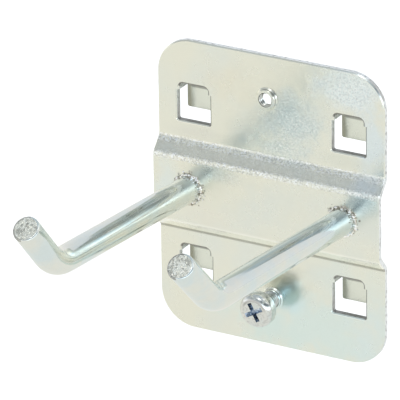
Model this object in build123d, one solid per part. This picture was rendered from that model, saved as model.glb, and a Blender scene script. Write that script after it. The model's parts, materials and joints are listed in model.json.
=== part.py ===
from build123d import *
from math import cos, radians, sin
import os

# Pegboard tool holder: a stamped plate that hooks into a perforated panel, two bent rods welded to its
# raised band, and a locking screw. Millimetres. +Z is up and the panel lies behind the plate, towards +Y.
# The origin is the middle of the four hooks, on the back face of the plate.

# Sheet and outline of the plate
sheet = 1.5
plate_width = 55.6
plate_height = 68.0
plate_drop = 0.55           # middle of the plate below the middle of the hooks
plate_corner = 8.3
edge_break = 0.25           # broken edge round the outline, front and back

# Raised band that carries the rods
band_rise = 2.8             # how far the band stands forward of the plate
band_height = 14.7          # flat front of the band
band_run = 3.1              # height of each sloped side
band_bend = 1.0             # inside radius of its folds

# Windows and hook tongues, one at each hole of the panel
hook_pitch = 38.0           # the panel's hole pitch, across and up
window_width = 8.2
window_height = 9.2
window_top_corner = 1.6
window_bottom_corner = 0.4
window_roll = 0.45          # front edge that the punch draws in
lip_roll = 0.6              # the same over the set-back, where the sheet isn't cut
lip_height = 2.1            # from the window's top down to where the side cuts begin
step_wall = 1.2             # metal over the set-back
step_round = 1.0            # its outer edges, behind the plate
tongue_width = 7.3
tongue_bottom_gap = 1.85    # tongue's end above the window's lower edge
tongue_corner = 0.45
hook_gap = 2.5              # room for the panel between plate and tongue

# Tapped collars drawn forward out of the sheet
collar_height = 23.4        # centre of each collar above or below the middle of the hooks
collar_outer = 4.7
collar_rise = 0.8           # collar in front of the plate
collar_lead_in = 0.5        # drawn mouth on the back face
collar_foot = 0.3           # blend from collar to front face
collar_lip = 0.15           # broken edge of the collar's rim
spare_collar_x = -0.8
spare_bore = 3.3            # tapping diameter of the thread

# Locking screw
thread_diameter = 4.0
thread_clearance = 0.05     # all round the screw in its collar
screw_length = 8.0          # under the head
screw_exposed = 4.6         # thread between head and collar, as it stands
screw_point = 0.4           # chamfer of the tip
screw_x = 0.1
head_diameter = 8.0
head_height = 3.1
head_front_edge = 1.8
head_back_edge = 0.15
recess_span = 4.5           # across the wings of the cross recess
recess_wing = 1.0           # width of a wing at the face
recess_depth = 1.9
recess_draft = 12.0         # wing walls lean in towards the bottom
recess_turn = 29.0          # how the cross happens to stand

# Hook rods
rod_diameter = 6.0
rod_spacing = 38.0
rod_drop = 0.2              # root of the rods below the middle of the hooks
rod_rise = 4.4              # the rods climb a little away from the plate
rod_bend = 11.0             # bend radius on the centre line
rod_end_edge = 0.3          # broken edge of the cut end
flash_width = 1.2           # weld flash beyond the rod
flash_height = 1.1
flash_slope = 0.8           # its rim falls away by this much, out and down
left_reach = 57.1           # root to the corner of the centre line
left_lift = 44.2            # turn of the bent end
left_tip = 16.7             # corner to the end face
right_reach = 57.6
right_lift = 40.3
right_tip = 18.0

# Sizes that follow
flat = 1e-6                 # slack when faces are picked by their direction
joint_slack = 1e-4          # slack where tongue and plate share their faces
front = -sheet
band_front = front - band_rise
rod_radius = rod_diameter / 2
collar_front = front - collar_rise
head_back = collar_front - screw_exposed


def folded_sheet(points, folds, width):
    """A strip of sheet, the given width, along folded points of its mid-plane (y, z)."""
    middle = Plane.YZ * FilletPolyline(*points, radius=folds)
    left, right = (middle.offset_2d(sheet / 2, side=side, closed=False) for side in (Side.LEFT, Side.RIGHT))
    ends = [Line(left @ 0, right @ 1), Line(left @ 1, right @ 0)]
    section = make_face([*left.edges(), *right.edges(), *ends])
    return extrude(section, amount=width / 2, dir=(1, 0, 0), both=True)


def plate_blank():
    """The plate with its raised band and rounded outline."""
    middle = -sheet / 2
    top = plate_height / 2 - plate_drop
    bottom = -plate_height / 2 - plate_drop
    flat_top = band_height / 2 - plate_drop
    flat_bottom = -band_height / 2 - plate_drop
    points = [
        (middle, top),
        (middle, flat_top + band_run),
        (middle - band_rise, flat_top),
        (middle - band_rise, flat_bottom),
        (middle, flat_bottom - band_run),
        (middle, bottom),
    ]
    strip = folded_sheet(points, band_bend + sheet / 2, plate_width)
    outline = Plane.XZ * Pos(0, -plate_drop) * RectangleRounded(plate_width, plate_height, plate_corner)
    blank = strip & extrude(outline, amount=2 * (sheet + band_rise), both=True)
    walls = blank.faces().filter_by(lambda face: abs(face.normal_at().Y) < flat)
    rim = ShapeList(edge for wall in walls for edge in wall.edges()).filter_by(Axis.Y, reverse=True)
    return chamfer(rim, edge_break)


def window():
    """The opening that a tongue is lanced from, about its middle."""
    hole = extrude(Plane.XZ * Rectangle(window_width, window_height), amount=2 * sheet, both=True)
    upper = hole.edges().filter_by(Axis.Y).group_by(Axis.Z)[-1]
    hole = fillet(upper, window_top_corner)
    lower = hole.edges().filter_by(Axis.Y).group_by(Axis.Z)[0]
    return fillet(lower, window_bottom_corner)


def slab(width, low, high, front_y, back_y):
    """A block across X, between two heights and two depths."""
    middle = Pos(0, (front_y + back_y) / 2, (low + high) / 2)
    return middle * Box(width, back_y - front_y, high - low)


def hook_tongue():
    """One hook, about the middle of its window: the drawn lip, the set-back behind it and the tongue."""
    window_top = window_height / 2
    lance = window_top - lip_height
    throat_top = window_top - lip_roll
    throat_width = window_width - 2 * lip_roll
    back = hook_gap + sheet
    pad = slab(window_width + 4 * window_roll, lance, window_top + 2 * window_roll, front, 0)
    step = slab(window_width, lance, throat_top + step_wall, front / 2, back)
    edges = step.edges().group_by(Axis.Z)[-1]
    step = fillet(edges.filter_by(Axis.Y) + edges.sort_by(Axis.Y)[-1:], step_round)
    throat = slab(throat_width, lance, throat_top, front, hook_gap)
    upper = throat.edges().filter_by(Axis.Y).group_by(Axis.Z)[-1]
    hook = pad + step - fillet(upper, window_top_corner - lip_roll)
    mouth = hook.edges().filter_by(lambda edge: (edge @ 0.5).Y < front + flat)
    lip = mouth.filter_by(lambda edge: lance + flat < (edge @ 0.5).Z < window_top)
    inside = lip.filter_by(lambda edge: abs((edge @ 0.5).X) < window_width / 2)
    hook = fillet(inside, lip_roll)
    tongue = slab(tongue_width, -window_top + tongue_bottom_gap, throat_top, hook_gap, back)
    foot = tongue.faces().sort_by(Axis.Z)[0]
    return hook + fillet(foot.edges().filter_by(Axis.Y), tongue_corner)


def flare(radius, spread):
    """A round mouth on Z that widens from the radius by the spread at its base, z = 0."""
    return Cone(radius + spread, radius, spread, align=(Align.CENTER, Align.CENTER, Align.MIN))


def collar(bore):
    """A drawn collar round the given bore, at the origin: the wall to add and the hole to cut."""
    outwards = Plane((0, front, 0), x_dir=(1, 0, 0), z_dir=(0, -1, 0))
    wall = Cylinder(collar_outer / 2, collar_rise, align=(Align.CENTER, Align.CENTER, Align.MIN))
    wall = chamfer(wall.edges().group_by(Axis.Z)[-1], collar_lip)
    wall += flare(collar_outer / 2, collar_foot)
    hole = Cylinder(bore / 2, collar_rise + sheet, align=(Align.CENTER, Align.CENTER, Align.MIN))
    hole += flare(bore / 2, collar_lead_in)
    through = Plane((0, 0, 0), x_dir=(1, 0, 0), z_dir=(0, -1, 0))
    return outwards * wall, through * hole


def back_plate():
    """The whole stamping: plate, band, windows, hook tongues and collars."""
    plate = plate_blank()
    grid = [place.position for place in GridLocations(hook_pitch, hook_pitch, 2, 2)]
    places = [Pos(centre.X, 0, centre.Y) for centre in grid]
    for place in places:
        plate -= place * window()
    fronts = plate.faces().filter_by(lambda face: face.normal_at().Y < flat - 1)
    rims = [edge for face in fronts for edge in face.edges() - face.outer_wire().edges()]
    tongues = [place * hook_tongue() for place in places]
    plate = Part(fillet(rims, window_roll).fuse(*tongues, tol=joint_slack).wrapped)
    spare = (Pos(spare_collar_x, 0, collar_height), spare_bore)
    lower = (Pos(screw_x, 0, -collar_height), thread_diameter + 2 * thread_clearance)
    for place, bore in (spare, lower):
        wall, hole = collar(bore)
        plate = plate + place * wall - place * hole
    return plate


def hook_rod(across, reach, lift, tip):
    """A bent rod on the band, with the weld flash round its root."""
    climb = radians(rod_rise)
    crook = radians(rod_rise + lift)
    root = Vector(across, band_front, -rod_drop)
    along = Vector(0, -cos(climb), sin(climb))
    turned = Vector(0, -cos(crook), sin(crook))
    corner = root + along * reach
    path = FilletPolyline(root - along * rod_diameter, corner, corner + turned * tip, radius=rod_bend)
    bar = sweep(Plane(path @ 0, z_dir=path % 0) * Circle(rod_radius), path=path)
    bar = chamfer(bar.faces().sort_by(Axis.Y)[0].edges(), rod_end_edge)
    seat = Plane(root, x_dir=(1, 0, 0), z_dir=(0, -1, 0))
    flash = Cylinder(rod_radius + flash_width, flash_height, align=(Align.CENTER, Align.CENTER, Align.MIN))
    flash = chamfer(flash.edges().group_by(Axis.Z)[-1], flash_slope)
    room = 4 * rod_diameter
    behind = Box(room, room, room, align=(Align.CENTER, Align.CENTER, Align.MAX))
    return bar + seat * flash - seat * behind


def locking_screw():
    """The screw as it stands, part way out of its collar."""
    axis = Plane((screw_x, head_back, -collar_height), x_dir=(1, 0, 0), z_dir=(0, -1, 0))
    head = Cylinder(head_diameter / 2, head_height, align=(Align.CENTER, Align.CENTER, Align.MIN))
    head = fillet(head.edges().group_by(Axis.Z)[-1], head_front_edge)
    head = chamfer(head.edges().group_by(Axis.Z)[0], head_back_edge)
    shank = Cylinder(thread_diameter / 2, screw_length, align=(Align.CENTER, Align.CENTER, Align.MAX))
    shank = chamfer(shank.edges().group_by(Axis.Z)[0], screw_point)
    wings = Rectangle(recess_span, recess_wing) + Rectangle(recess_wing, recess_span)
    mouth = Plane.XY.offset(head_height)
    recess = extrude(mouth * Rot(0, 0, recess_turn) * wings, amount=-recess_depth, taper=recess_draft)
    return axis * (head + shank - recess)


def main():
    """Write one file for each piece."""
    os.makedirs("parts", exist_ok=True)
    side = rod_spacing / 2
    export_step(back_plate(), "parts/back_plate.step")
    export_step(hook_rod(-side, left_reach, left_lift, left_tip), "parts/left_hook_rod.step")
    export_step(hook_rod(side, right_reach, right_lift, right_tip), "parts/right_hook_rod.step")
    export_step(locking_screw(), "parts/locking_screw.step")


main()
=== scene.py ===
"""Looks of a pegboard tool holder: a zinc-plated stamping, two welded hook rods and a locking screw."""

from __future__ import annotations

import json
import logging
import math
import random
from collections.abc import Callable, Iterator, Mapping
from contextlib import contextmanager
from dataclasses import dataclass
from enum import Enum
from functools import partial, reduce

import bmesh
import bpy
from mathutils import Matrix, Vector

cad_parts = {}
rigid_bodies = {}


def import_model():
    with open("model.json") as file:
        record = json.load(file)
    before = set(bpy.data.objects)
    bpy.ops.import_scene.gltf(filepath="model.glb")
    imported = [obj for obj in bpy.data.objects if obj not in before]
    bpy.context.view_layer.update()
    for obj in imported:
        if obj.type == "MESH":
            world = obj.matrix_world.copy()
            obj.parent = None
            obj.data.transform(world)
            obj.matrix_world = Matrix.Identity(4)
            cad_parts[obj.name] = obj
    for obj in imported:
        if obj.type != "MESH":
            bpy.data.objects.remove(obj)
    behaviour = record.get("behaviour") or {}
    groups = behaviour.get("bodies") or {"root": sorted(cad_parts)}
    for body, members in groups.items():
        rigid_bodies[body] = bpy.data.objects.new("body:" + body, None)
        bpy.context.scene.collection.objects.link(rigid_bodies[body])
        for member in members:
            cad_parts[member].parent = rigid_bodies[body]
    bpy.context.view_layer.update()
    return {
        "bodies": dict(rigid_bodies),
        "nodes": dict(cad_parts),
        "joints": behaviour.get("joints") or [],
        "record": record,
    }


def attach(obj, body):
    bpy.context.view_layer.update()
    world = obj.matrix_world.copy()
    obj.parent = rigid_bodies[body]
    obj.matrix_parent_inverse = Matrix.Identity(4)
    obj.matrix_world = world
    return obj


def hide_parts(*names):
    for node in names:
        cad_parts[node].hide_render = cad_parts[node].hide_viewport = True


LOG = logging.getLogger("tool_holder")
MM = 0.001

# Sides of a round piece, and the slack when doubles are merged or flat ends are picked
AROUND = 96
MERGE = 0.0005 * MM
FLAT = 0.02 * MM

# Largest angle between two faces that is shaded round, in degrees
ROD_SMOOTH = 40.0
FLASH_SMOOTH = 60.0
THREAD_SMOOTH = 35.0

Material = bpy.types.Material
Node = bpy.types.Node
Piece = bpy.types.Object
Socket = bpy.types.NodeSocket
Tree = bpy.types.NodeTree
Colour = tuple[float, float, float]
Pair = tuple[float, float]
# Start and end of a smooth change, and its results there where they aren't 0 and 1
Change = tuple[float, ...]
Value = float | tuple[float, ...] | Socket


class Body(Enum):
    """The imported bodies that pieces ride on."""

    HOLDER = "holder"
    SCREW = "screw"


class Slot(Enum):
    """The record's material slots."""

    SHEET = "zinc_sheet"
    ROD = "zinc_rod"
    SCREW = "zinc_screw"


class Element(Enum):
    """What a selection in edit mode is made of."""

    VERTEX = "VERT"
    EDGE = "EDGE"
    FACE = "FACE"


def on_sheet(spot: Pair, depth: float = 0.0) -> tuple[float, float, float]:
    """A spot's X and Z, in millimetres, as a vector in metres."""
    return spot[0] * MM, depth, spot[1] * MM


class Graph:
    """Adds and joins the nodes of one shader tree."""

    def __init__(self, tree: Tree) -> None:
        """Starts from an empty tree."""
        self.tree = tree
        self.tree.nodes.clear()

    def node(self, kind: str, values: Mapping[str | int, Value] | None = None, **settings: object) -> Node:
        """Adds a node.

        Args:
            kind: The node's type name, without the leading "ShaderNode".
            values: Values or sockets for its inputs, by name or number.
            **settings: Properties of the node itself.

        Returns:
            The new node.
        """
        prefix = "" if kind.startswith("NodeGroup") else "ShaderNode"
        made = self.tree.nodes.new(prefix + kind)
        for key, setting in settings.items():
            setattr(made, key, setting)
        for key, value in (values or {}).items():
            self.feed(made.inputs[key], value)
        return made

    def feed(self, socket: Socket, value: Value) -> None:
        """Sets an input, or links it when the value is another node's output.

        Args:
            socket: The input.
            value: A number, colour, vector or output socket.
        """
        if isinstance(value, Socket):
            self.tree.links.new(value, socket)
        elif isinstance(value, tuple) and len(value) == 3 and socket.type == "RGBA":
            socket.default_value = (*value, 1.0)
        else:
            socket.default_value = value

    def group(self, tree: Tree, values: Mapping[str, Value]) -> Mapping[str, Socket]:
        """Places a shared node group and gives its outputs."""
        return self.node("Group", values, node_tree=tree).outputs

    def split(self, vector: Value) -> Mapping[str, Socket]:
        """Takes a vector apart into X, Y and Z."""
        return self.node("SeparateXYZ", {"Vector": vector}).outputs

    def math(self, operation: str, *operands: Value) -> Socket:
        """Adds a Math node and gives its result."""
        return self.node("Math", dict(enumerate(operands)), operation=operation).outputs[0]

    def vector(self, operation: str, *operands: Value) -> Mapping[str, Socket]:
        """Adds a Vector Math node and gives its outputs."""
        return self.node("VectorMath", dict(enumerate(operands)), operation=operation).outputs

    def plus(self, *values: Value) -> Socket:
        """Adds values up."""
        return reduce(partial(self.math, "ADD"), values, 0.0)

    def total(self, *values: Value) -> Socket:
        """Adds values up, to 1 at most."""
        return self.math("MINIMUM", self.plus(*values), 1.0)

    def product(self, *values: Value) -> Socket:
        """Multiplies values."""
        return reduce(partial(self.math, "MULTIPLY"), values)

    def blend(self, share: Value, first: Value, second: Value) -> Socket:
        """Mixes two colours, by the share of the second."""
        return self.node("Mix", {0: share, 6: first, 7: second}, data_type="RGBA").outputs[2]

    def spread(
        self, value: Value, low: float, high: float, to_low: float = 0.0, to_high: float = 1.0
    ) -> Socket:
        """Maps a value smoothly from one range to another, and no further than its ends."""
        ends = {"Value": value, "From Min": low, "From Max": high, "To Min": to_low, "To Max": to_high}
        return self.node("MapRange", ends, interpolation_type="SMOOTHSTEP").outputs["Result"]

    def near(self, place: Value, middle: float, reach: float, core: float = 0.4) -> Socket:
        """How near a coordinate is to a value: 1 in the core of the reach, 0 beyond it."""
        away = self.math("ABSOLUTE", self.math("SUBTRACT", place, middle))
        return self.spread(away, reach, core * reach)

    def from_axis(self, place: Value, axis: Pair) -> Socket:
        """Measures the distance from an axis along Y.

        Args:
            place: Coordinates, in metres.
            axis: X and Z of the axis, in millimetres.

        Returns:
            The distance, in metres.
        """
        offset = self.vector("SUBTRACT", place, on_sheet(axis))["Vector"]
        across = self.vector("MULTIPLY", offset, (1.0, 0.0, 1.0))["Vector"]
        return self.vector("LENGTH", across)["Value"]

    def noise(self, place: Value, scale: Value, detail: float, roughness: float = 0.5) -> Socket:
        """Adds a noise texture, about 0 to 1, with so many features to the metre."""
        values = {"Vector": place, "Scale": scale, "Detail": detail, "Roughness": roughness}
        return self.node("TexNoise", values).outputs["Fac"]


class Effects:
    """Shader node groups that several finishes share."""

    # Noise from warm to cool, chance that a crystal flashes or stays dull, edge and frays of a patch
    CLOUD_EDGE: Change = (0.36, 0.68)
    BRIGHT: Change = (0.55, 0.9)
    DULL: Change = (0.4, 0.1)
    PATCH_EDGE: Change = (1.2, 0.2)
    FRAY_GRAIN: float = 6.0 * MM

    def __init__(self) -> None:
        """Builds each group once."""
        self.clouds = self._clouds()
        self.frost = self._frost()
        self.streaks = self._streaks()
        self.patch = self._patch()

    @staticmethod
    def _group(
        name: str, takes: Mapping[str, str], gives: Mapping[str, str]
    ) -> tuple[Graph, Mapping[str, Socket], Mapping[str, Socket]]:
        """Starts a node group.

        Args:
            name: Its name.
            takes: Socket type of each input.
            gives: Socket type of each output.

        Returns:
            The group's graph, what it is given and what it puts out.
        """
        tree = bpy.data.node_groups.new(name, "ShaderNodeTree")
        for way, sockets in (("INPUT", takes), ("OUTPUT", gives)):
            for label, kind in sockets.items():
                tree.interface.new_socket(label, in_out=way, socket_type="NodeSocket" + kind)
        graph = Graph(tree)
        return graph, graph.node("NodeGroupInput").outputs, graph.node("NodeGroupOutput").inputs

    def _clouds(self) -> Tree:
        """Soft cream and blue-green clouds of a passivated plating.

        Returns:
            The group.
        """
        takes = {"Vector": "Vector", "Scale": "Float", "Lean": "Float", "Warm": "Color", "Cool": "Color"}
        graph, given, out = self._group("plating_clouds", takes, {"Color": "Color"})
        wide = graph.noise(given["Vector"], given["Scale"], detail=3.0, roughness=0.55)
        cool = graph.spread(graph.math("ADD", wide, given["Lean"]), *self.CLOUD_EDGE)
        graph.feed(out["Color"], graph.blend(cool, given["Warm"], given["Cool"]))
        return graph.tree

    def _frost(self) -> Tree:
        """Fine crystalline grain: its height, and which crystals flash or stay dull.

        Returns:
            The group.
        """
        gives = {"Height": "Float", "Bright": "Float", "Dull": "Float"}
        graph, given, out = self._group("plating_frost", {"Vector": "Vector", "Grain": "Float"}, gives)
        cells = graph.node("TexVoronoi", {"Vector": given["Vector"], "Scale": given["Grain"]})
        chance = graph.split(cells.outputs["Color"])["X"]
        graph.feed(out["Height"], graph.noise(given["Vector"], given["Grain"], detail=2.0))
        graph.feed(out["Bright"], graph.spread(chance, *self.BRIGHT))
        graph.feed(out["Dull"], graph.spread(chance, *self.DULL))
        return graph.tree

    def _streaks(self) -> Tree:
        """Long faint lines that drawing or rolling leaves along one direction.

        Returns:
            The group.
        """
        takes = {"Vector": "Vector", "Scale": "Float"}
        graph, given, out = self._group("drawn_streaks", takes, {"Fac": "Float"})
        graph.feed(out["Fac"], graph.noise(given["Vector"], given["Scale"], detail=4.0))
        return graph.tree

    def _patch(self) -> Tree:
        """A soft oval with a frayed outline.

        Returns:
            The group.
        """
        takes = {"Vector": "Vector", "Centre": "Vector", "Size": "Vector", "Fray": "Float"}
        graph, given, out = self._group("soft_patch", takes, {"Fac": "Float"})
        offset = graph.vector("SUBTRACT", given["Vector"], given["Centre"])["Vector"]
        away = graph.vector("LENGTH", graph.vector("DIVIDE", offset, given["Size"])["Vector"])["Value"]
        frays = graph.noise(given["Vector"], 1.0 / self.FRAY_GRAIN, detail=4.0, roughness=0.6)
        ragged = graph.product(graph.math("SUBTRACT", frays, 0.5), given["Fray"])
        graph.feed(out["Fac"], graph.spread(graph.math("ADD", away, ragged), *self.PATCH_EDGE))
        return graph.tree


@dataclass(frozen=True)
class Patch:
    """A place on the sheet, in millimetres, where the plating took another colour or grain, or where shade
    is painted.
    """

    centre: Pair
    size: Pair
    colour: Colour
    strength: float
    frost: float = 0.0
    fray: float = 2.0


@dataclass(frozen=True)
class DullSpot:
    """A place, in millimetres, round which the sheet's sheared faces are painted darker; at the collars this
    is painted shade.
    """

    centre: Pair
    strength: float = 1.0


@dataclass(frozen=True)
class Finish:
    """What every plated finish has: a name, two tints of its plating, their clouds and a roughness."""

    name: str
    warm: Colour
    cool: Colour
    cloud: float
    roughness: float
    lean: float = 0.0

    def start(self, effects: Effects) -> tuple[Material, Graph, Socket, Socket]:
        """Makes a material that so far has only the clouds of its plating.

        Args:
            effects: The shared groups.

        Returns:
            The material, its graph, the object coordinates and the colour.
        """
        made = bpy.data.materials.new(self.name)
        made.use_nodes = True
        graph = Graph(made.node_tree)
        place = graph.node("TexCoord").outputs["Object"]
        tints = {"Vector": place, "Scale": 1.0 / self.cloud, "Lean": self.lean}
        colour = graph.group(effects.clouds, {**tints, "Warm": self.warm, "Cool": self.cool})["Color"]
        return made, graph, place, colour

    def metal(self, graph: Graph, colour: Value, roughness: Value, height: Value, depth: float) -> None:
        """Ends the graph in a metal shader with a bump.

        Args:
            graph: The material's graph.
            colour: Base colour.
            roughness: Roughness.
            height: Height of the bump.
            depth: What a height of 1 stands for, in metres.
        """
        bump = graph.node("Bump", {"Height": height, "Strength": 1.0, "Distance": depth}).outputs["Normal"]
        surface = {"Base Color": colour, "Roughness": roughness, "Metallic": 1.0, "Normal": bump}
        shader = graph.node("BsdfPrincipled", surface)
        graph.node("OutputMaterial", {"Surface": shader.outputs["BSDF"]})


@dataclass(frozen=True)
class SheetZinc(Finish):
    """Plated cold-rolled sheet: cloudy, frosted at its folds, dull where it was sheared, with painted
    glints, painted shade on its window rims, tongues, crease and collars, and painted light on its lower
    slope.

    A line across the sheet is given as its height and its reach up and down.
    """

    patches: tuple[Patch, ...] = ()
    dull_spots: tuple[DullSpot, ...] = ()
    folds: tuple[Pair, ...] = ()
    upper_slope: Pair = (0.0, 1.7 * MM)
    lower_slope: Pair = (0.0, 1.7 * MM)
    crease: Pair = (0.0, 0.6 * MM)
    band: Pair = (0.0, 8.0 * MM)

    # Colours
    # Painted glints on the frost crystals that flash
    painted_glint: Colour = (0.98, 1.0, 0.99)
    shear: Colour = (0.45, 0.46, 0.46)
    edge: Colour = (0.92, 0.95, 0.97)
    # Painted shade on window rims and on the tongues behind the windows
    window_shade: Colour = (0.2, 0.195, 0.18)
    # Painted shade on the sheared faces round the dull spots
    dull_tone: Colour = (0.36, 0.345, 0.31)
    # Painted shade in the crease at the foot of the lower slope
    crease_shade: Colour = (0.3, 0.29, 0.25)
    # Painted light on the lower slope
    lower_slope_light: Colour = (1.0, 1.0, 0.93)
    # Painted shade on what lies behind the sheet's front
    behind_shade: Colour = (0.8, 0.825, 0.74)

    # How strongly frost, the painted shade in the crease, torn edges and the painted shade under a lip show
    slope_grain: float = 0.22
    plain_grain: float = 0.04
    dull_grain: float = 0.5
    crease_share: float = 0.65
    torn_share: float = 0.7
    hood_share: float = 0.7

    # Frost and roughness
    frost_grain: float = 0.27 * MM
    frost_depth: float = 0.006 * MM
    fold_frost: float = 12.0
    slope_frost: float = 4.0
    mottle_grain: float = 2.5 * MM
    mottle: Change = (0.3, 0.7, -0.03, 0.04)
    band_roughness: float = 0.05
    fold_roughness: float = 0.08
    shear_roughness: float = 0.15

    # Painted shade on the tongues behind the windows: in Y, then up and across from the middle of a window
    behind: Change = (0.5 * MM, 2.0 * MM)
    hood: Pair = (2.35 * MM, 0.6 * MM)
    tongue_edge_shade: Change = (-2.2 * MM, -3.1 * MM, 0.0, 0.65)

    # Sheared faces, by how far they turn to the front, their torn places, and the reach of the painted shade
    # round the dull spots
    sheared: Change = (0.55, 0.3)
    torn_grain: float = 0.7 * MM
    torn: Change = (0.5, 0.62)
    dull: Change = (3.0 * MM, 2.7 * MM)

    # Painted shade on window rims, by their distance from the window's middle, their facing, depth and
    # height
    window_pitch: float = 38.0 * MM
    window: Change = (5.7 * MM, 5.4 * MM)
    rolled: Change = (0.998, 0.96)
    under: Change = (-0.05, -0.3)
    under_edge: Change = (0.1, 0.35)
    deep: Change = (-0.2 * MM, 1.0 * MM, 0.85, 0.4)
    sill: Change = (0.3, 0.7, 0.0, 0.8)
    low_wall: Change = (0.5 * MM, -2.5 * MM, 0.15, 0.65)

    def material(self, effects: Effects) -> Material:
        """Builds the material.

        Args:
            effects: The shared groups.

        Returns:
            The material.
        """
        made, graph, place, colour = self.start(effects)
        at = graph.split(place)
        frost = graph.group(effects.frost, {"Vector": place, "Grain": 1.0 / self.frost_grain})
        colour, grown = self._patched(graph, effects, place, colour)
        folds = graph.total(*(graph.near(at["Z"], *fold) for fold in self.folds))
        slope = graph.near(at["Z"], *self.upper_slope)
        grain = graph.total(folds, grown, graph.product(slope, self.slope_grain), self.plain_grain)
        # Painted glints on the crystals that flash, most at the folds, the frosty patches and the upper
        # slope
        colour = graph.blend(graph.product(frost["Bright"], grain), colour, self.painted_glint)
        colour = graph.blend(graph.product(frost["Dull"], grain, self.dull_grain), colour, self.shear)
        behind = graph.spread(at["Y"], *self.behind)
        # Painted shade, deeper behind the sheet's front
        colour = graph.blend(behind, colour, self.behind_shade)
        aside, above = (self._from_window(graph, at[way]) for way in "XZ")
        # Painted shade under the lip at the top of each tongue and along its left edge
        hooded = graph.product(graph.near(above, *self.hood), self.hood_share)
        shaded = graph.math("MAXIMUM", hooded, graph.spread(aside, *self.tongue_edge_shade))
        colour = graph.blend(graph.product(shaded, behind), colour, self.window_shade)
        # Painted light on the lower slope
        colour = graph.blend(graph.near(at["Z"], *self.lower_slope), colour, self.lower_slope_light)
        # Painted shade in the crease
        creased = graph.product(graph.near(at["Z"], *self.crease), self.crease_share)
        colour = graph.blend(creased, colour, self.crease_shade)
        facing = graph.split(graph.node("TexCoord").outputs["Normal"])
        front = graph.math("ABSOLUTE", facing["Y"])
        sheared = graph.spread(front, *self.sheared)
        # Sheared faces, with painted shade round the dull spots
        colour = self._sheared(graph, place, sheared, colour)
        # Painted shade on window rims that roll over to face left or down, and on the sheared walls low in
        # the windows
        shadow = self._rolled_rim(graph, facing, front, at["Y"])
        sill = graph.spread(facing["Z"], *self.sill)
        wall = graph.math("MAXIMUM", sill, graph.spread(above, *self.low_wall))
        rim = graph.math("MAXIMUM", shadow, graph.product(sheared, wall))
        away = graph.math("MAXIMUM", *(graph.math("ABSOLUTE", offset) for offset in (aside, above)))
        colour = graph.blend(graph.product(rim, graph.spread(away, *self.window)), colour, self.window_shade)
        mottle = graph.spread(graph.noise(place, 1.0 / self.mottle_grain, detail=3.0), *self.mottle)
        scuffed = graph.product(graph.near(at["Z"], *self.band), self.band_roughness)
        frosted = graph.product(folds, self.fold_roughness)
        cut = graph.product(sheared, self.shear_roughness)
        roughness = graph.plus(self.roughness, mottle, scuffed, frosted, cut)
        coarse = graph.product(graph.plus(folds, sheared), self.fold_frost)
        lift = graph.plus(1.0, grown, coarse, graph.product(slope, self.slope_frost))
        self.metal(graph, colour, roughness, graph.product(frost["Height"], lift), self.frost_depth)
        return made

    def _from_window(self, graph: Graph, place: Value) -> Socket:
        """How far a coordinate, X or Z, lies from the middle of the nearest window, with its sign."""
        window = graph.product(graph.math("SIGN", place), self.window_pitch / 2)
        return graph.math("SUBTRACT", place, window)

    def _patched(self, graph: Graph, effects: Effects, place: Value, colour: Value) -> tuple[Socket, Socket]:
        """Lays the patches over the sheet.

        Args:
            graph: The material's graph.
            effects: The shared groups.
            place: Object coordinates.
            colour: Colour of the sheet.

        Returns:
            The new colour, and how coarse the plating grew.
        """
        coarse = []
        for patch in self.patches:
            oval = {"Centre": on_sheet(patch.centre), "Size": on_sheet(patch.size, 1.0), "Fray": patch.fray}
            share = graph.group(effects.patch, {"Vector": place, **oval})["Fac"]
            colour = graph.blend(graph.product(share, patch.strength), colour, patch.colour)
            if patch.frost:
                coarse.append(graph.product(share, patch.frost))
        return colour, graph.total(*coarse)

    def _sheared(self, graph: Graph, place: Value, sheared: Value, colour: Value) -> Socket:
        """Colours the faces that the tool sheared, with their torn places and the painted shade round the
        dull spots.

        Args:
            graph: The material's graph.
            place: Object coordinates.
            sheared: Where the sheet is sheared.
            colour: Colour of the sheet.

        Returns:
            The new colour.
        """
        tears = graph.noise(place, 1.0 / self.torn_grain, detail=3.0, roughness=0.6)
        torn = graph.spread(tears, *self.torn)
        colour = graph.blend(sheared, colour, self.edge)
        colour = graph.blend(graph.product(torn, sheared, self.torn_share), colour, self.shear)
        # Painted shade round the dull spots
        dull = []
        for spot in self.dull_spots:
            close = graph.spread(graph.from_axis(place, spot.centre), *self.dull)
            dull.append(graph.product(close, spot.strength))
        return graph.blend(graph.product(graph.total(*dull), sheared), colour, self.dull_tone)

    def _rolled_rim(self, graph: Graph, facing: Mapping[str, Socket], front: Value, depth: Value) -> Socket:
        """Finds where an edge rolls over to face left or down, where shade is painted.

        Args:
            graph: The material's graph.
            facing: The surface's direction, as X, Y and Z.
            front: How far it turns to the front or the back.
            depth: Place in Y.

        Returns:
            A share of painted shade, 1 where it is darkest.
        """
        under = graph.math("MAXIMUM", *(graph.spread(facing[way], *self.under) for way in "XZ"))
        rolled = graph.product(graph.spread(front, *self.rolled), graph.spread(front, *self.under_edge))
        return graph.product(under, rolled, graph.spread(depth, *self.deep))


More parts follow.
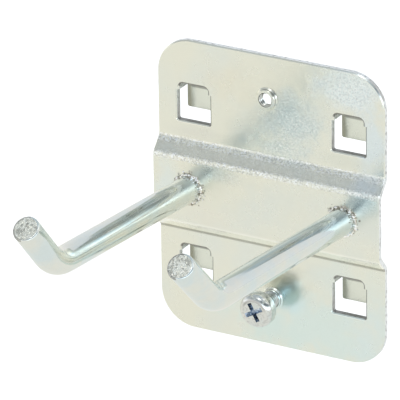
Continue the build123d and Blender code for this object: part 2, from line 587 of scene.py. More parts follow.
@dataclass(frozen=True)
class RodZinc(Finish):
    """Plated drawn wire: glossy, with faint lines along it."""

    stretch: tuple[float, float, float] = (1.0, 0.05, 1.0)
    streak_width: float = 0.5 * MM
    streak_depth: float = 0.003 * MM
    streak: Change = (0.35, 0.65, 0.08, 0.0)
    streak_roughness: Change = (0.3, 0.7, -0.03, 0.05)
    line: Colour = (0.6, 0.63, 0.6)

    def material(self, effects: Effects) -> Material:
        """Builds the material.

        Args:
            effects: The shared groups.

        Returns:
            The material.
        """
        made, graph, place, colour = self.start(effects)
        along = graph.node("Mapping", {"Vector": place, "Scale": self.stretch}).outputs["Vector"]
        streaks = graph.group(effects.streaks, {"Vector": along, "Scale": 1.0 / self.streak_width})["Fac"]
        colour = graph.blend(graph.spread(streaks, *self.streak), colour, self.line)
        colour = self.shade(graph, place, colour)
        roughness = graph.plus(self.roughness, graph.spread(streaks, *self.streak_roughness))
        self.metal(graph, colour, roughness, streaks, self.streak_depth)
        return made

    def shade(self, graph: Graph, place: Socket, colour: Value) -> Value:
        """Leaves the colour as it is; a finish with grooves paints shade into them here."""
        return colour


@dataclass(frozen=True)
class ThreadZinc(RodZinc):
    """Plating on a thread: painted shade down in its grooves, gritty, with the upper part of a ring in front
    of the thread darkened as painted shade.
    """

    # X and Z of the axis in millimetres, radii from clear to deep, and where the thread starts in Y
    axis: Pair = (0.0, 0.0)
    grooves: Change = (0.0, 1.0)
    starts: Change = (0.0, 1.0)
    # Radius, reach and core of the ring of painted shade, and the height over the axis where it begins to
    # show
    ring: tuple[float, float, float] = (0.0, 0.4 * MM, 0.3)
    ring_top: Change = (0.3 * MM, 1.6 * MM)
    grit: Change = (0.5, 0.6, 0.0, 0.0)
    grit_grain: float = 0.45 * MM
    # Painted shade in the grooves
    groove_shade: Colour = (0.2, 0.21, 0.2)
    # Colour of the grit and of the painted shade on the ring
    dull: Colour = (0.5, 0.5, 0.48)

    def shade(self, graph: Graph, place: Socket, colour: Value) -> Value:
        """Dulls the grit, paints shade on the upper part of the ring, and paints shade into the grooves
        behind the thread's start.

        Args:
            graph: The material's graph.
            place: Object coordinates.
            colour: Colour of the plating.

        Returns:
            The new colour.
        """
        at = graph.split(place)
        away = graph.from_axis(place, self.axis)
        behind = graph.spread(at["Y"], *self.starts)
        ahead = graph.math("SUBTRACT", 1.0, behind)
        upper = graph.spread(graph.math("SUBTRACT", at["Z"], self.axis[1] * MM), *self.ring_top)
        # Painted shade on the upper part of the ring in front of the thread
        ring_shade = graph.product(graph.near(away, *self.ring), ahead, upper)
        gritty = graph.spread(graph.noise(place, 1.0 / self.grit_grain, detail=2.0), *self.grit)
        colour = graph.blend(graph.math("MAXIMUM", ring_shade, gritty), colour, self.dull)
        # Painted shade in the grooves behind the thread's start
        return graph.blend(graph.product(graph.spread(away, *self.grooves), behind), colour, self.groove_shade)


@dataclass(frozen=True)
class RoughZinc(Finish):
    """Plating over torn or molten metal: pitted, with dark flecks and bright flecks that are painted glints.
    """

    speck: Colour = (0.3, 0.29, 0.27)
    speck_share: float = 0.7
    # Painted glints on the crystals that flash
    flash: Colour = (1.0, 1.0, 1.0)
    grain: float = 0.3 * MM
    pits: float = 0.5 * MM
    pit_share: float = 0.45
    pit_fade: float = 0.08
    pit_roughness: Change = (0.35, 0.65, 0.1, -0.1)
    depth: float = 0.06 * MM

    def material(self, effects: Effects) -> Material:
        """Builds the material.

        Args:
            effects: The shared groups.

        Returns:
            The material.
        """
        made, graph, place, colour = self.start(effects)
        frost = graph.group(effects.frost, {"Vector": place, "Grain": 1.0 / self.grain})
        pits = graph.noise(place, 1.0 / self.pits, detail=3.0, roughness=0.6)
        pitted = graph.spread(pits, self.pit_share + self.pit_fade, self.pit_share - self.pit_fade)
        dark = graph.product(graph.total(frost["Dull"], pitted), self.speck_share)
        colour = graph.blend(dark, colour, self.speck)
        # Painted glints
        colour = graph.blend(frost["Bright"], colour, self.flash)
        roughness = graph.plus(self.roughness, graph.spread(pits, *self.pit_roughness))
        self.metal(graph, colour, roughness, pits, self.depth)
        return made


def deselect() -> None:
    """Leaves nothing selected, in object mode."""
    if bpy.context.object and bpy.context.object.mode != "OBJECT":
        bpy.ops.object.mode_set(mode="OBJECT")
    bpy.ops.object.select_all(action="DESELECT")


def focus(piece: Piece) -> None:
    """Makes one piece the only selected and the active object.

    Args:
        piece: The piece.
    """
    deselect()
    piece.select_set(True)
    bpy.context.view_layer.objects.active = piece


def settle(piece: Piece) -> None:
    """Puts a piece's turn, scale and place into its mesh."""
    focus(piece)
    bpy.ops.object.transform_apply(location=True, rotation=True, scale=True)


def added(name: str) -> Piece:
    """Names the primitive that was just added, and puts its place into its mesh.

    Args:
        name: Name of the piece and its mesh.

    Returns:
        The piece.
    """
    made = bpy.context.object
    made.name = name
    made.data.name = name
    settle(made)
    return made


def cylinder(name: str, radius: float, low: float, depth: float) -> Piece:
    """Adds a cylinder on Z.

    Args:
        name: Name of the piece.
        radius: Its radius.
        low: Where it starts, on Z.
        depth: Its length.

    Returns:
        The piece.
    """
    deselect()
    centre = (0.0, 0.0, low + depth / 2)
    bpy.ops.mesh.primitive_cylinder_add(vertices=AROUND, radius=radius, depth=depth, location=centre)
    return added(name)


@contextmanager
def editing(piece: Piece) -> Iterator[None]:
    """Edit mode on one piece, with nothing selected at first.

    Args:
        piece: The piece.
    """
    focus(piece)
    bpy.ops.object.mode_set(mode="EDIT")
    bpy.ops.mesh.select_all(action="DESELECT")
    yield
    bpy.ops.object.mode_set(mode="OBJECT")


def pick(element: Element, test: Callable[[object], bool]) -> None:
    """Selects the elements of the edited mesh that pass a test, and no others.

    Args:
        element: Which kind of element.
        test: Takes a vertex, edge or face and says whether it is picked.
    """
    bpy.ops.mesh.select_mode(type=element.value)
    bpy.ops.mesh.select_all(action="DESELECT")
    mesh = bmesh.from_edit_mesh(bpy.context.object.data)
    groups = {Element.VERTEX: mesh.verts, Element.EDGE: mesh.edges, Element.FACE: mesh.faces}
    for item in groups[element]:
        if test(item):
            item.select_set(True)
    mesh.select_flush_mode()
    bmesh.update_edit_mesh(bpy.context.object.data)


def middle(edge: bmesh.types.BMEdge) -> Vector:
    """The middle of an edge."""
    return (edge.verts[0].co + edge.verts[1].co) / 2


def round_ring(height: float, radius: float, segments: int) -> None:
    """Bevels the edges of the edited mesh that lie at a height on Z."""
    pick(Element.EDGE, lambda edge: abs(middle(edge).z - height) < FLAT)
    bpy.ops.mesh.bevel(offset=radius, segments=segments)


def close_ends() -> None:
    """Fills the open ends of the edited mesh."""
    pick(Element.EDGE, lambda edge: edge.is_boundary)
    bpy.ops.mesh.fill_holes(sides=0)


def clean(piece: Piece, smooth_angle: float) -> None:
    """Merges doubles, turns faces outwards and smooths what is rounder than an angle.

    Args:
        piece: The piece.
        smooth_angle: Largest angle between two faces that is shaded round, in degrees.
    """
    with editing(piece):
        bpy.ops.mesh.select_all(action="SELECT")
        bpy.ops.mesh.remove_doubles(threshold=MERGE)
        bpy.ops.mesh.normals_make_consistent(inside=False)
    focus(piece)
    bpy.ops.object.shade_smooth_by_angle(angle=math.radians(smooth_angle))


def point_forward(piece: Piece, place: tuple[float, float, float]) -> None:
    """Turns a threaded piece that was made on Z to the front, in its place, and cleans it.

    Args:
        piece: The piece.
        place: Where its origin goes.
    """
    piece.rotation_euler = (math.pi / 2, 0.0, 0.0)
    piece.location = place
    settle(piece)
    clean(piece, THREAD_SMOOTH)


def apply_boolean(piece: Piece, tool: Piece, operation: str) -> None:
    """Cuts, keeps or joins with another mesh, which is then removed.

    Args:
        piece: The mesh that stays.
        tool: The other mesh.
        operation: DIFFERENCE, INTERSECT or UNION.
    """
    focus(piece)
    modifier = piece.modifiers.new(operation.lower(), "BOOLEAN")
    modifier.operation = operation
    modifier.solver = "EXACT"
    modifier.object = tool
    bpy.ops.object.modifier_apply(modifier=modifier.name)
    bpy.data.objects.remove(tool)


def apply_lumps(piece: Piece, group: str, grain: float, height: float) -> None:
    """Pushes a group of vertices in and out along their normals by a cloudy pattern.

    Args:
        piece: The piece.
        group: Its vertex group.
        grain: Size of the lumps, in metres.
        height: Their height, in metres.
    """
    pattern = bpy.data.textures.new(piece.name + "_lumps", "CLOUDS")
    pattern.noise_scale = grain
    pattern.noise_depth = 2
    focus(piece)
    modifier = piece.modifiers.new("lumps", "DISPLACE")
    modifier.texture = pattern
    modifier.texture_coords = "LOCAL"
    modifier.strength = height
    modifier.mid_level = 0.5
    modifier.vertex_group = group
    bpy.ops.object.modifier_apply(modifier=modifier.name)
    bpy.data.textures.remove(pattern)


def join_body(piece: Piece, body: Body, slot: Slot, *nodes: str) -> None:
    """Lets a finished piece ride on its body and stand for CAD nodes.

    Args:
        piece: The piece.
        body: Its body.
        slot: The record's slot that would give its finish; it is not used.
        *nodes: CAD nodes that it replaces.
    """
    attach(piece, body.value)
    if nodes:
        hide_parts(*nodes)
    LOG.info("%s rides on %s, %d faces", piece.name, body.value, len(piece.data.polygons))


def dress(piece: Piece, *materials: Material) -> None:
    """Gives a piece its materials, in slot order.

    Args:
        piece: The piece.
        *materials: The materials.
    """
    piece.data.materials.clear()
    for material in materials:
        piece.data.materials.append(material)


@dataclass
class BackPlate:
    """The stamping, which keeps its CAD shape."""

    node: str = "back_plate"
    finish: SheetZinc = SheetZinc(
        name="zinc_sheet",
        warm=(0.87, 0.865, 0.755),
        cool=(0.82, 0.85, 0.79),
        cloud=18.0 * MM,
        roughness=0.24,
        lean=-0.04,
        patches=(
            Patch((5.0, 18.5), (9.0, 7.5), (0.62, 0.73, 0.75), 0.75, frost=0.5),
            Patch((1.5, 12.6), (8.0, 3.0), (0.64, 0.74, 0.73), 0.65, frost=0.4),
            Patch((19.0, 29.5), (10.0, 6.0), (0.83, 0.92, 0.95), 0.8, frost=0.55),
            Patch((24.5, 17.0), (5.0, 13.0), (0.79, 0.88, 0.92), 0.85),
            Patch((-10.5, 25.5), (7.0, 6.0), (0.86, 0.81, 0.66), 0.4),
            Patch((11.0, -28.5), (22.0, 9.0), (0.75, 0.87, 0.85), 0.85),
            Patch((-14.0, -6.0), (7.0, 4.0), (0.86, 0.83, 0.73), 0.4),
            Patch((-24.5, 0.0), (4.0, 7.0), (0.8, 0.89, 0.9), 0.6),
            Patch((4.5, -22.0), (4.0, 4.5), (0.66, 0.9, 1.0), 0.6, fray=0.8),
            # The next four are painted shade: the rods' reflections beside the left and right roots, and the
            # shade below the two upper windows
            Patch((-11.5, 4.8), (6.5, 2.4), (0.62, 0.68, 0.66), 0.4, frost=0.3, fray=1.0),
            Patch((-19.0, 12.3), (8.0, 2.4), (0.76, 0.76, 0.7), 0.5, fray=1.0),
            Patch((18.0, 12.4), (9.0, 2.4), (0.75, 0.78, 0.71), 0.5, fray=1.0),
            Patch((25.0, 4.4), (4.5, 3.0), (0.58, 0.67, 0.66), 0.6, frost=0.3, fray=1.0),
            Patch((18.0, -18.0), (13.0, 10.0), (0.78, 0.86, 0.82), 0.5),
            Patch((24.0, -27.0), (6.0, 9.0), (0.77, 0.87, 0.87), 0.7),
            Patch((-1.0, -31.0), (8.0, 5.0), (0.74, 0.86, 0.83), 0.7),
        ),
        # Painted shade on the walls of the two collars; the third spot darkens the sheared faces near the
        # top right corner
        dull_spots=(DullSpot((-0.8, 23.4)), DullSpot((0.1, -23.4)), DullSpot((26.0, 30.6), strength=0.45)),
        folds=((9.9 * MM, 0.95 * MM), (6.8 * MM, 0.95 * MM)),
        upper_slope=(8.35 * MM, 1.7 * MM),
        lower_slope=(-9.5 * MM, 1.7 * MM),
        crease=(-11.0 * MM, 0.6 * MM),
    )

    def build(self, frame: Mapping[str, Mapping[str, Piece]], effects: Effects) -> None:
        """Dresses the CAD node.

        Args:
            effects: The shared shader groups.
        """
        plate = frame["nodes"][self.node]
        dress(plate, self.finish.material(effects))
        LOG.info("%s dressed, %d faces", plate.name, len(plate.data.polygons))


@dataclass
class HookRod:
    """One bent rod with its cut end and the weld flash at its root."""

    side: str
    across: float
    reach: float
    lift: float
    tip: float
    seed: int
    root_y: float = -4.3 * MM
    root_z: float = -0.2 * MM
    sunk: float = 0.3 * MM
    rise: float = 4.4
    radius: float = 3.0 * MM
    bend: float = 11.0 * MM
    bend_steps: int = 24
    end_edge: float = 0.45 * MM
    end_edge_steps: int = 3
    end_margin: float = 0.36 * MM
    end_rings: int = 9
    end_grain: float = 0.55 * MM
    end_roughness: float = 0.3 * MM
    flash_ring: float = 3.2 * MM
    flash_thickness: float = 0.45 * MM
    flash_sides: int = 20
    flash_grain: float = 1.2 * MM
    flash_lumps: float = 0.75 * MM
    flash_sunk: float = 0.05 * MM
    bead_count: int = 44
    # How far beyond the ring a bead lies and its radius, in millimetres; the further out, the lower it lies
    bead_spread: Pair = (-0.1, 1.1)
    bead_size: Pair = (0.12, 0.3)
    bead_height: float = 0.6 * MM
    bead_fall: float = 0.8 * MM

    def __post_init__(self) -> None:
        """Works out the rod's directions and the ends of its bend."""
        climb = math.radians(self.rise)
        crook = math.radians(self.rise + self.lift)
        self.root = Vector((self.across, self.root_y, self.root_z))
        self.along = Vector((0.0, -math.cos(climb), math.sin(climb)))
        self.upwards = Vector((0.0, math.sin(climb), math.cos(climb)))
        self.turned = Vector((0.0, -math.cos(crook), math.sin(crook)))
        self.tangent = self.bend * math.tan(math.radians(self.lift) / 2)
        self.corner = self.root + self.along * self.reach
        self.end = self.corner + self.turned * self.tip

    def build(
        self, finish: RodZinc, cut: RoughZinc, edge: RoughZinc, weld: RoughZinc, effects: Effects
    ) -> None:
        """Models and dresses the rod and its weld flash.

        Args:
            finish: Finish along the rod.
            cut: Finish of its end face.
            edge: Finish of the left of the edge that the shear rolled over, darker as painted shade.
            weld: Finish of the weld flash.
            effects: The shared shader groups.
        """
        rod = self._bar()
        self._rough_end(rod)
        clean(rod, ROD_SMOOTH)
        dress(rod, finish.material(effects), cut.material(effects), edge.material(effects))
        self._paint_end(rod)
        join_body(rod, Body.HOLDER, Slot.ROD, self.side + "_hook_rod")
        flash = self._flash()
        dress(flash, weld.material(effects))
        join_body(flash, Body.HOLDER, Slot.ROD)

    def _bar(self) -> Piece:
        """Draws a circle out along the rod and round its bend.

        Returns:
            The rod, with flat ends.
        """
        deselect()
        start = self.root - self.along * self.sunk
        turn = (math.pi / 2 - math.radians(self.rise), 0.0, 0.0)
        bpy.ops.mesh.primitive_circle_add(vertices=AROUND, radius=self.radius, location=start, rotation=turn)
        rod = added(self.side + "_rod")
        straight = self.along * (self.reach + self.sunk - self.tangent)
        last = self.turned * (self.tip - self.tangent)
        bend_start = self.corner - self.along * self.tangent
        with editing(rod):
            pick(Element.EDGE, lambda edge: True)
            bpy.ops.mesh.extrude_edges_move(TRANSFORM_OT_translate={"value": straight})
            bpy.ops.mesh.spin(
                steps=self.bend_steps,
                angle=math.radians(self.lift),
                center=bend_start + self.upwards * self.bend,
                axis=(1.0, 0.0, 0.0),
            )
            bpy.ops.mesh.extrude_edges_move(TRANSFORM_OT_translate={"value": last})
            close_ends()
        return rod

    def _is_end(self, place: Vector) -> bool:
        """Whether a point lies on the end face."""
        return abs((place - self.end).dot(self.turned)) < FLAT

    def _rough_end(self, rod: Piece) -> None:
        """Breaks the end's edge and roughens its face.

        Args:
            rod: The rod.
        """
        with editing(rod):
            pick(Element.EDGE, lambda edge: self._is_end(middle(edge)))
            bpy.ops.mesh.bevel(offset=self.end_edge, segments=self.end_edge_steps)
            pick(Element.FACE, lambda face: self._is_end(face.calc_center_median()) and len(face.verts) > 4)
            step = (self.radius - self.end_edge) / (self.end_rings + 1)
            for _ in range(self.end_rings):
                bpy.ops.mesh.inset(thickness=step)
            bpy.ops.mesh.poke()
            pick(Element.VERTEX, lambda vertex: self._is_end(vertex.co))
            group = rod.vertex_groups.new(name="end_face")
            bpy.ops.object.vertex_group_assign()
        apply_lumps(rod, group.name, self.end_grain, self.end_roughness)

    def _paint_end(self, rod: Piece) -> None:
        """Puts the second material on the end face and the third, painted shade, on the left of its rolled
        edge.

        Args:
            rod: The rod.
        """
        inside = self.radius - self.end_margin
        for face in rod.data.polygons:
            offset = face.center - self.end
            depth = offset.dot(self.turned)
            if abs(depth) > self.end_edge:
                continue
            if (offset - self.turned * depth).length < inside:
                face.material_index = 1
            elif offset.x < 0.0:
                face.material_index = 2

    def _flash(self) -> Piece:
        """Models the lumpy ring of metal that the weld pushed out, with its beads.

        Returns:
            The flash.
        """
        deselect()
        bpy.ops.mesh.primitive_torus_add(
            major_radius=self.flash_ring,
            minor_radius=self.flash_thickness,
            major_segments=AROUND,
            minor_segments=self.flash_sides,
            location=self.root,
            rotation=(math.pi / 2, 0.0, 0.0),
        )
        flash = added(self.side + "_weld_flash")
        group = flash.vertex_groups.new(name="all")
        group.add(range(len(flash.data.vertices)), 1.0, "REPLACE")
        apply_lumps(flash, group.name, self.flash_grain, self.flash_lumps)
        dice = random.Random(self.seed)
        with editing(flash):
            for _ in range(self.bead_count):
                angle = dice.uniform(0.0, 2 * math.pi)
                spread = self.flash_ring + dice.uniform(*self.bead_spread) * MM
                size = dice.uniform(*self.bead_size) * MM
                height = self.bead_height * max(0.0, 1 - (spread - self.flash_ring) / self.bead_fall)
                place = self.root + Vector((spread * math.cos(angle), -height, spread * math.sin(angle)))
                bpy.ops.mesh.primitive_ico_sphere_add(subdivisions=2, radius=size, location=place)
            bpy.ops.mesh.select_all(action="SELECT")
            bpy.ops.mesh.bisect(
                plane_co=self.root + Vector((0.0, self.flash_sunk, 0.0)),
                plane_no=(0.0, 1.0, 0.0),
                clear_outer=True,
                use_fill=True,
            )
        clean(flash, FLASH_SMOOTH)
        return flash


@dataclass(frozen=True)
class ThreadForm:
    """A screw thread's profile: its radii, its pitch and the flats on it."""

    root: float
    crest: float
    pitch: float = 0.7 * MM
    root_flat: float = 0.116 * MM
    crest_flat: float = 0.088 * MM
    steps: int = 48

    def sleeve(self, name: str, low: float, turns: int) -> Piece:
        """Winds the profile into a closed threaded rod on Z.

        Args:
            name: Name of the piece.
            low: Where the first turn starts, on Z.
            turns: Number of turns.

        Returns:
            The threaded rod.
        """
        flank = (self.pitch - self.root_flat - self.crest_flat) / 2
        rise = self.crest - self.root
        moves = [(0.0, self.root_flat), (rise, flank), (0.0, self.crest_flat), (-rise, flank)]
        deselect()
        bpy.ops.mesh.primitive_plane_add(size=self.pitch, location=(self.root, 0.0, low))
        piece = added(name)
        with editing(piece):
            pick(Element.VERTEX, lambda vertex: True)
            bpy.ops.mesh.merge(type="CENTER")
            for outwards, upwards in moves:
                bpy.ops.mesh.extrude_region_move(TRANSFORM_OT_translate={"value": (outwards, 0.0, upwards)})
        modifier = piece.modifiers.new("winding", "SCREW")
        modifier.axis = "Z"
        modifier.angle = 2 * math.pi
        modifier.screw_offset = self.pitch
        modifier.iterations = turns
        modifier.steps = self.steps
        modifier.render_steps = self.steps
        bpy.ops.object.modifier_apply(modifier=modifier.name)
        with editing(piece):
            bpy.ops.mesh.select_all(action="SELECT")
            bpy.ops.mesh.remove_doubles(threshold=MERGE)
            close_ends()
            bpy.ops.mesh.select_all(action="SELECT")
            bpy.ops.mesh.normals_make_consistent(inside=False)
        return piece


@dataclass
class LockingScrew:
    """The pan-head screw, part way out of its collar."""

    node: str = "locking_screw"
    across: float = 0.1 * MM
    head_back: float = -6.9 * MM
    height: float = -23.4 * MM
    length: float = 8.0 * MM
    point: float = 0.45 * MM
    head_radius: float = 4.0 * MM
    head_height: float = 3.1 * MM
    front_edge: float = 1.8 * MM
    front_edge_steps: int = 10
    back_edge: float = 0.15 * MM
    back_edge_steps: int = 3
    recess_span: float = 4.5 * MM
    recess_wing: float = 1.0 * MM
    recess_depth: float = 1.9 * MM
    recess_slack: float = 0.1 * MM
    recess_taper: float = 0.5
    recess_turn: float = 29.0
    sheath: float = 2.06 * MM
    thread: ThreadForm = ThreadForm(root=1.57 * MM, crest=2.0 * MM)
    finish: ThreadZinc = ThreadZinc(
        name="zinc_screw",
        warm=(0.78, 0.78, 0.74),
        cool=(0.7, 0.76, 0.77),
        cloud=4.0 * MM,
        roughness=0.16,
        axis=(0.1, -23.4),
        grooves=(1.92 * MM, 1.62 * MM),
        starts=(-6.9 * MM, -6.8 * MM),
        # A ring of painted shade on the head's rounded edge
        ring=(2.72 * MM, 0.4 * MM, 0.3),
        grit=(0.5, 0.6, 0.0, 0.45),
    )
    # Darker and bluer than the head: painted shade in the cross recess
    recess_shade_finish: RoughZinc = RoughZinc(
        name="zinc_recess_shade",
        warm=(0.62, 0.7, 0.8),
        cool=(0.46, 0.56, 0.68),
        cloud=1.0 * MM,
        roughness=0.3,
        speck=(0.22, 0.28, 0.36),
        flash=(0.8, 0.86, 0.92),
        grain=0.5 * MM,
        depth=0.01 * MM,
    )

    def build(self, effects: Effects) -> None:
        """Models and dresses the screw.

        Args:
            effects: The shared shader groups.
        """
        screw = self._head()
        for turn in (self.recess_turn, self.recess_turn + 90.0):
            apply_boolean(screw, self._wing(turn), "DIFFERENCE")
        apply_boolean(screw, self._shank(), "UNION")
        point_forward(screw, (self.across, self.head_back, self.height))
        dress(screw, self.finish.material(effects), self.recess_shade_finish.material(effects))
        self._paint_recess(screw)
        join_body(screw, Body.SCREW, Slot.SCREW, self.node)

    def _paint_recess(self, screw: Piece) -> None:
        """Puts the second material, darker and bluer as painted shade, on the walls and floor of the recess.

        Args:
            screw: The screw, in its place.
        """
        face_y = self.head_back - self.head_height
        for face in screw.data.polygons:
            depth = face.center.y - face_y
            away = math.hypot(face.center.x - self.across, face.center.z - self.height)
            if FLAT < depth < self.recess_depth + self.recess_slack and away < self.recess_span / 2:
                face.material_index = 1

    def _head(self) -> Piece:
        """Turns the head from a cylinder, with its back at z = 0.

        Returns:
            The head.
        """
        head = cylinder("threaded_screw", self.head_radius, 0.0, self.head_height)
        with editing(head):
            round_ring(self.head_height, self.front_edge, self.front_edge_steps)
            round_ring(0.0, self.back_edge, self.back_edge_steps)
        return head

    def _wing(self, turn: float) -> Piece:
        """Models one tapered wing of the cross recess, standing in the head's face.

        Args:
            turn: How far the wing is turned, in degrees.

        Returns:
            The wing.
        """
        deselect()
        bpy.ops.mesh.primitive_cube_add(
            size=1.0,
            location=(0.0, 0.0, self.head_height),
            rotation=(0.0, 0.0, math.radians(turn)),
            scale=(self.recess_span, self.recess_wing, 2 * self.recess_depth),
        )
        wing = added("wing")
        floor = (0.0, 0.0, self.head_height - self.recess_depth)
        with editing(wing):
            for way in (-1, 1):
                pick(Element.FACE, lambda face, way=way: way * face.normal.z > 0.5)
                width = 1 + way * self.recess_taper
                bpy.ops.transform.resize(value=(width, width, 1.0), center_override=floor)
        return wing

    def _shank(self) -> Piece:
        """Winds the thread and trims it to the shank's length, with a chamfered point.

        Returns:
            The shank.
        """
        room = self.length + self.head_height / 2
        turns = math.ceil(room / self.thread.pitch) + 1
        shank = self.thread.sleeve("shank", -self.length - self.thread.pitch, turns)
        sheath = cylinder("sheath", self.sheath, -self.length, room)
        with editing(sheath):
            round_ring(-self.length, self.point, segments=1)
        apply_boolean(shank, sheath, "INTERSECT")
        return shank


@dataclass
class TappedLining:
    """The thread inside the spare collar."""

    across: float = -0.8 * MM
    height: float = 23.4 * MM
    front: float = -2.2 * MM
    back: float = -0.55 * MM
    outer: float = 1.67 * MM
    spare_turns: int = 3
    thread: ThreadForm = ThreadForm(root=1.38 * MM, crest=1.64 * MM)
    finish: ThreadZinc = ThreadZinc(
        name="zinc_thread",
        warm=(0.84, 0.83, 0.76),
        cool=(0.76, 0.79, 0.77),
        cloud=3.0 * MM,
        roughness=0.16,
        axis=(-0.8, 23.4),
        grooves=(1.42 * MM, 1.6 * MM),
        starts=(-2.3 * MM, -2.2 * MM),
    )

    def build(self, effects: Effects) -> None:
        """Cuts the thread out of a plug and dresses what is left.

        Args:
            effects: The shared shader groups.
        """
        depth = self.back - self.front
        lining = cylinder("spare_collar_thread", self.outer, 0.0, depth)
        turns = math.ceil(depth / self.thread.pitch) + self.spare_turns
        tap = self.thread.sleeve("tap", -self.spare_turns / 2 * self.thread.pitch, turns)
        apply_boolean(lining, tap, "DIFFERENCE")
        point_forward(lining, (self.across, self.back, self.height))
        dress(lining, self.finish.material(effects))
        join_body(lining, Body.HOLDER, Slot.SHEET)


@dataclass(frozen=True)
class Glow:
    """One level of the sky: the sine of its elevation, its strength and how blue it is."""

    sine: float
    level: float
    blue: float = 0.0
    blue_tint: Colour = (0.9, 1.0, 1.08)

    def colour(self) -> tuple[float, ...]:
        """The level as red, green, blue and alpha."""
        return *(self.level * (1 + self.blue * (tint - 1)) for tint in self.blue_tint), 1.0


@dataclass(frozen=True)
class SoftBox:
    """A round soft lamp in the sky: where it hangs, how wide it is in degrees, and its level."""

    towards: tuple[float, float, float]
    inner: float
    outer: float
    level: float

    def over(self, graph: Graph, direction: Socket, sky: Socket) -> Socket:
        """Lays the lamp over the sky.

        Args:
            graph: The world's graph.
            direction: Direction into the sky.
            sky: The sky's colour.

        Returns:
            The sky with the lamp.
        """
        centre = tuple(Vector(self.towards).normalized())
        facing = graph.vector("DOT_PRODUCT", direction, centre)["Value"]
        edge, full = (math.cos(math.radians(angle)) for angle in (self.outer, self.inner))
        return graph.blend(graph.spread(facing, edge, full), sky, (self.level, self.level, self.level))


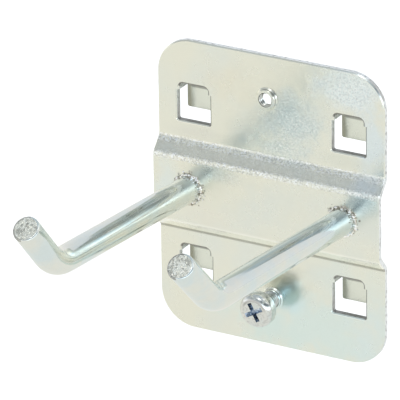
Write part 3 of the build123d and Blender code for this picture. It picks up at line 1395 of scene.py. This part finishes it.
@dataclass
class Stage:
    """Floor, light and camera."""

    floor_height: float = -0.16
    floor_size: float = 12.0
    floor_paint: Colour = (0.8, 0.8, 0.8)
    floor_glow: Colour = (0.6, 0.6, 0.6)
    floor_glow_in_metal: Colour = (0.3, 0.27, 0.205)
    left_light: tuple[Glow, ...] = (
        Glow(-1.0, 0.9),
        Glow(-0.12, 0.92),
        Glow(0.07, 1.2),
        Glow(0.2, 1.15),
        Glow(0.33, 0.75, 0.5),
        Glow(0.4, 0.55, 0.8),
        Glow(0.62, 0.52, 0.6),
        Glow(0.76, 0.54, 0.6),
        Glow(1.0, 0.66, 1.0),
    )
    right_light: tuple[Glow, ...] = (
        Glow(-1.0, 0.9),
        Glow(-0.12, 0.92),
        Glow(-0.02, 1.3, 0.4),
        Glow(0.07, 2.2, 0.8),
        Glow(0.2, 2.1, 0.8),
        Glow(0.28, 1.4, 0.8),
        Glow(0.34, 0.6, 0.8),
        Glow(0.4, 0.22, 1.5),
        Glow(0.52, 0.18, 1.5),
        Glow(0.62, 0.3, 1.2),
        Glow(0.76, 0.6, 1.0),
        Glow(1.0, 0.66, 1.0),
    )
    back_light: tuple[Glow, ...] = (
        Glow(-1.0, 0.9),
        Glow(0.3, 0.86),
        Glow(0.6, 0.8, 0.3),
        Glow(0.75, 0.6, 1.0),
        Glow(1.0, 0.66, 1.0),
    )
    # Where the light changes from left to right, in X, and from front to back, in Y
    to_right: Change = (-0.03, 0.2)
    to_back: Change = (-0.1, 0.3)
    soft_boxes: tuple[SoftBox, ...] = (
        SoftBox(towards=(0.0, -0.56, 0.83), inner=5.0, outer=13.0, level=2.2),
        SoftBox(towards=(0.57, 0.02, 0.81), inner=10.0, outer=26.0, level=1.3),
    )
    distance: float = 1254.58 * MM
    azimuth: float = 28.841
    elevation: float = 23.274
    roll: float = 0.5
    aim_right: float = -16.09 * MM
    aim_up: float = -0.59 * MM
    lens: float = 521.06
    sensor: float = 36.0
    clip: Pair = (0.05, 50.0)

    def build(self) -> None:
        """Sets the whole stage."""
        self._floor()
        self._world()
        self._camera()

    def _floor(self) -> None:
        """Lays a pale floor well below the holder, which hangs."""
        deselect()
        bpy.ops.mesh.primitive_plane_add(size=self.floor_size, location=(0.0, 0.0, self.floor_height))
        floor = added("floor")
        paint = bpy.data.materials.new("floor_paint")
        paint.use_nodes = True
        graph = Graph(paint.node_tree)
        matt = graph.node("BsdfDiffuse", {"Color": self.floor_paint}).outputs["BSDF"]
        rays = graph.node("LightPath").outputs
        shiny = graph.math("MAXIMUM", rays["Is Glossy Ray"], rays["Is Transmission Ray"])
        colour = graph.blend(rays["Is Camera Ray"], self.floor_glow_in_metal, self.floor_glow)
        strength = graph.math("MAXIMUM", shiny, rays["Is Camera Ray"])
        glow = graph.node("Emission", {"Color": colour, "Strength": strength}).outputs["Emission"]
        both = graph.node("AddShader", {0: matt, 1: glow})
        graph.node("OutputMaterial", {"Surface": both.outputs["Shader"]})
        dress(floor, paint)

    @staticmethod
    def _dome(graph: Graph, height: Socket, stops: tuple[Glow, ...]) -> Socket:
        """Levels by height in the sky.

        Args:
            graph: The world's graph.
            height: Sine of the elevation.
            stops: The levels, upwards.

        Returns:
            The level as a colour.
        """
        ramp = graph.node("ValToRGB", {"Fac": graph.math("MULTIPLY_ADD", height, 0.5, 0.5)})
        band = ramp.color_ramp.elements
        while len(band) < len(stops):
            band.new(0.5)
        for stop, glow in zip(band, stops):
            stop.position = (glow.sine + 1) / 2
            stop.color = glow.colour()
        return ramp.outputs["Color"]

    def _world(self) -> None:
        """Surrounds the holder with soft light: a bright band low in front, darker above it, pale behind."""
        world = bpy.data.worlds.new("studio")
        world.use_nodes = True
        bpy.context.scene.world = world
        graph = Graph(world.node_tree)
        direction = graph.node("TexCoord").outputs["Generated"]
        way = graph.split(direction)
        lights = (self.left_light, self.right_light, self.back_light)
        left, right, behind = (self._dome(graph, way["Z"], light) for light in lights)
        front = graph.blend(graph.spread(way["X"], *self.to_right), left, right)
        around = graph.blend(graph.spread(way["Y"], *self.to_back), front, behind)
        for box in self.soft_boxes:
            around = box.over(graph, direction, around)
        seen = graph.node("LightPath").outputs["Is Camera Ray"]
        soft, white = (
            graph.node("Background", {"Color": colour, "Strength": 1.0}).outputs["Background"]
            for colour in (around, (1.0, 1.0, 1.0))
        )
        choice = graph.node("MixShader", {0: seen, 1: soft, 2: white})
        graph.node("OutputWorld", {"Surface": choice.outputs["Shader"]})

    def _camera(self) -> None:
        """Stands the camera where the photo was taken from."""
        turn, lift, roll = (math.radians(angle) for angle in (self.azimuth, self.elevation, self.roll))
        back = Vector((math.sin(turn) * math.cos(lift), -math.cos(turn) * math.cos(lift), math.sin(lift)))
        level = Vector((math.cos(turn), math.sin(turn), 0.0))
        upright = back.cross(level)
        right = level * math.cos(roll) - upright * math.sin(roll)
        up = level * math.sin(roll) + upright * math.cos(roll)
        target = right * self.aim_right + up * self.aim_up
        place = back * self.distance
        backwards = (place - target).normalized()
        sideways = up.cross(backwards).normalized()
        upwards = backwards.cross(sideways)
        lens = bpy.data.cameras.new("camera")
        lens.lens = self.lens
        lens.sensor_width = self.sensor
        lens.clip_start, lens.clip_end = self.clip
        camera = bpy.data.objects.new("camera", lens)
        bpy.context.scene.collection.objects.link(camera)
        facing = Matrix((sideways, upwards, backwards)).transposed().to_4x4()
        camera.matrix_world = Matrix.Translation(place) @ facing
        bpy.context.scene.camera = camera


ROD = RodZinc(
    name="zinc_rod",
    warm=(0.81, 0.828, 0.78),
    cool=(0.728, 0.81, 0.825),
    cloud=8.0 * MM,
    roughness=0.09,
)
CUT_END = RoughZinc(
    name="zinc_cut_end",
    warm=(1.0, 0.99, 0.88),
    cool=(0.98, 0.98, 0.87),
    cloud=2.2 * MM,
    roughness=0.22,
    speck=(0.4, 0.4, 0.36),
    flash=(1.0, 1.0, 0.92),
    grain=0.55 * MM,
    pits=0.7 * MM,
    pit_share=0.38,
    depth=0.4 * MM,
)
# Painted shade on the left of the rod end's rolled edge
CUT_EDGE_SHADE = RoughZinc(
    name="zinc_cut_edge_shade",
    warm=(0.5, 0.5, 0.46),
    cool=(0.42, 0.43, 0.4),
    cloud=2.0 * MM,
    roughness=0.3,
    speck=(0.25, 0.25, 0.24),
    flash=(0.6, 0.6, 0.57),
    depth=0.01 * MM,
)
WELD = RoughZinc(
    name="zinc_weld",
    warm=(0.9, 0.87, 0.78),
    cool=(0.82, 0.83, 0.78),
    cloud=1.8 * MM,
    roughness=0.24,
    speck=(0.2, 0.165, 0.12),
    grain=0.45 * MM,
    pits=0.8 * MM,
)


def main() -> None:
    """Builds every piece in order."""
    logging.basicConfig(level=logging.INFO, format="%(name)s: %(message)s")
    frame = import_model()
    bpy.context.scene.view_settings.view_transform = "Standard"
    effects = Effects()
    Stage().build()
    BackPlate().build(frame, effects)
    left = HookRod("left", across=-19.0 * MM, reach=57.1 * MM, lift=44.2, tip=16.7 * MM, seed=3)
    right = HookRod("right", across=19.0 * MM, reach=57.6 * MM, lift=40.3, tip=18.0 * MM, seed=8)
    for rod in (left, right):
        rod.build(ROD, CUT_END, CUT_EDGE_SHADE, WELD, effects)
    LockingScrew().build(effects)
    TappedLining().build(effects)


if __name__ == "__main__":
    main()
